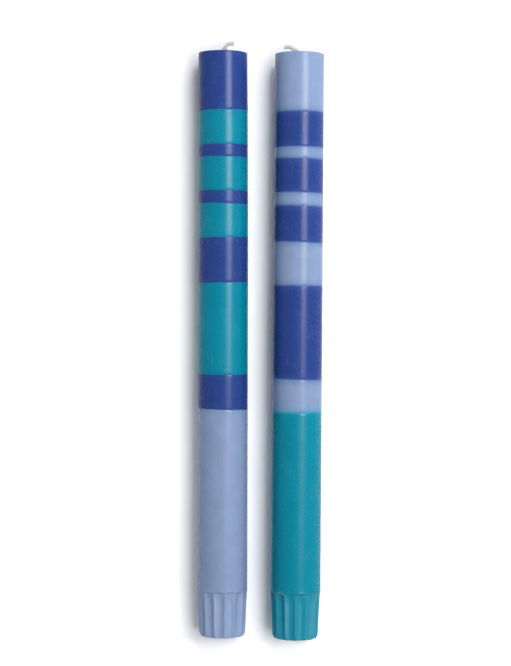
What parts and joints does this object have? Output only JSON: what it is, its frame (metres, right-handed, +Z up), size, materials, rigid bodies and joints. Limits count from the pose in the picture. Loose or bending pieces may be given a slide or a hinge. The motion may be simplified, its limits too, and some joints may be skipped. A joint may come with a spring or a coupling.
{
  "type": "striped dinner candles",
  "caption": "Pair of cylindrical dinner candles lying side by side, poured in bands of blue, teal and pale blue wax, with fluted tapered feet and bent cotton wicks.",
  "frame": {"origin": "middle of the pair's box, on the surface that the candles lie on", "axes": "+Y along the candles from foot to wick, +X across the pair from the candle with the pale foot to the one with the teal foot, +Z up"},
  "size_m": [0.0556, 0.2606, 0.022],
  "materials": {
    "wax_blue": "satin wax, dyed cobalt blue",
    "wax_teal": "satin wax, dyed teal",
    "wax_pale_blue": "satin wax, dyed pale blue",
    "wick_cotton": "braided cotton, off-white"
  },
  "bodies": {
    "root": {"left_tip_blue": "wax_blue", "left_band_2_teal": "wax_teal", "left_band_3_blue": "wax_blue", "left_band_4_teal": "wax_teal", "left_band_5_blue": "wax_blue", "left_band_6_teal": "wax_teal", "left_band_7_blue": "wax_blue", "left_band_8_teal": "wax_teal", "left_band_9_blue": "wax_blue", "left_fluted_foot_pale_blue": "wax_pale_blue", "left_wick": "wick_cotton", "right_tip_pale_blue": "wax_pale_blue", "right_band_2_blue": "wax_blue", "right_band_3_pale_blue": "wax_pale_blue", "right_band_4_blue": "wax_blue", "right_band_5_pale_blue": "wax_pale_blue", "right_band_6_blue": "wax_blue", "right_band_7_pale_blue": "wax_pale_blue", "right_band_8_blue": "wax_blue", "right_band_9_pale_blue": "wax_pale_blue", "right_fluted_foot_teal": "wax_teal", "right_wick": "wick_cotton"}
  },
  "joints": []
}
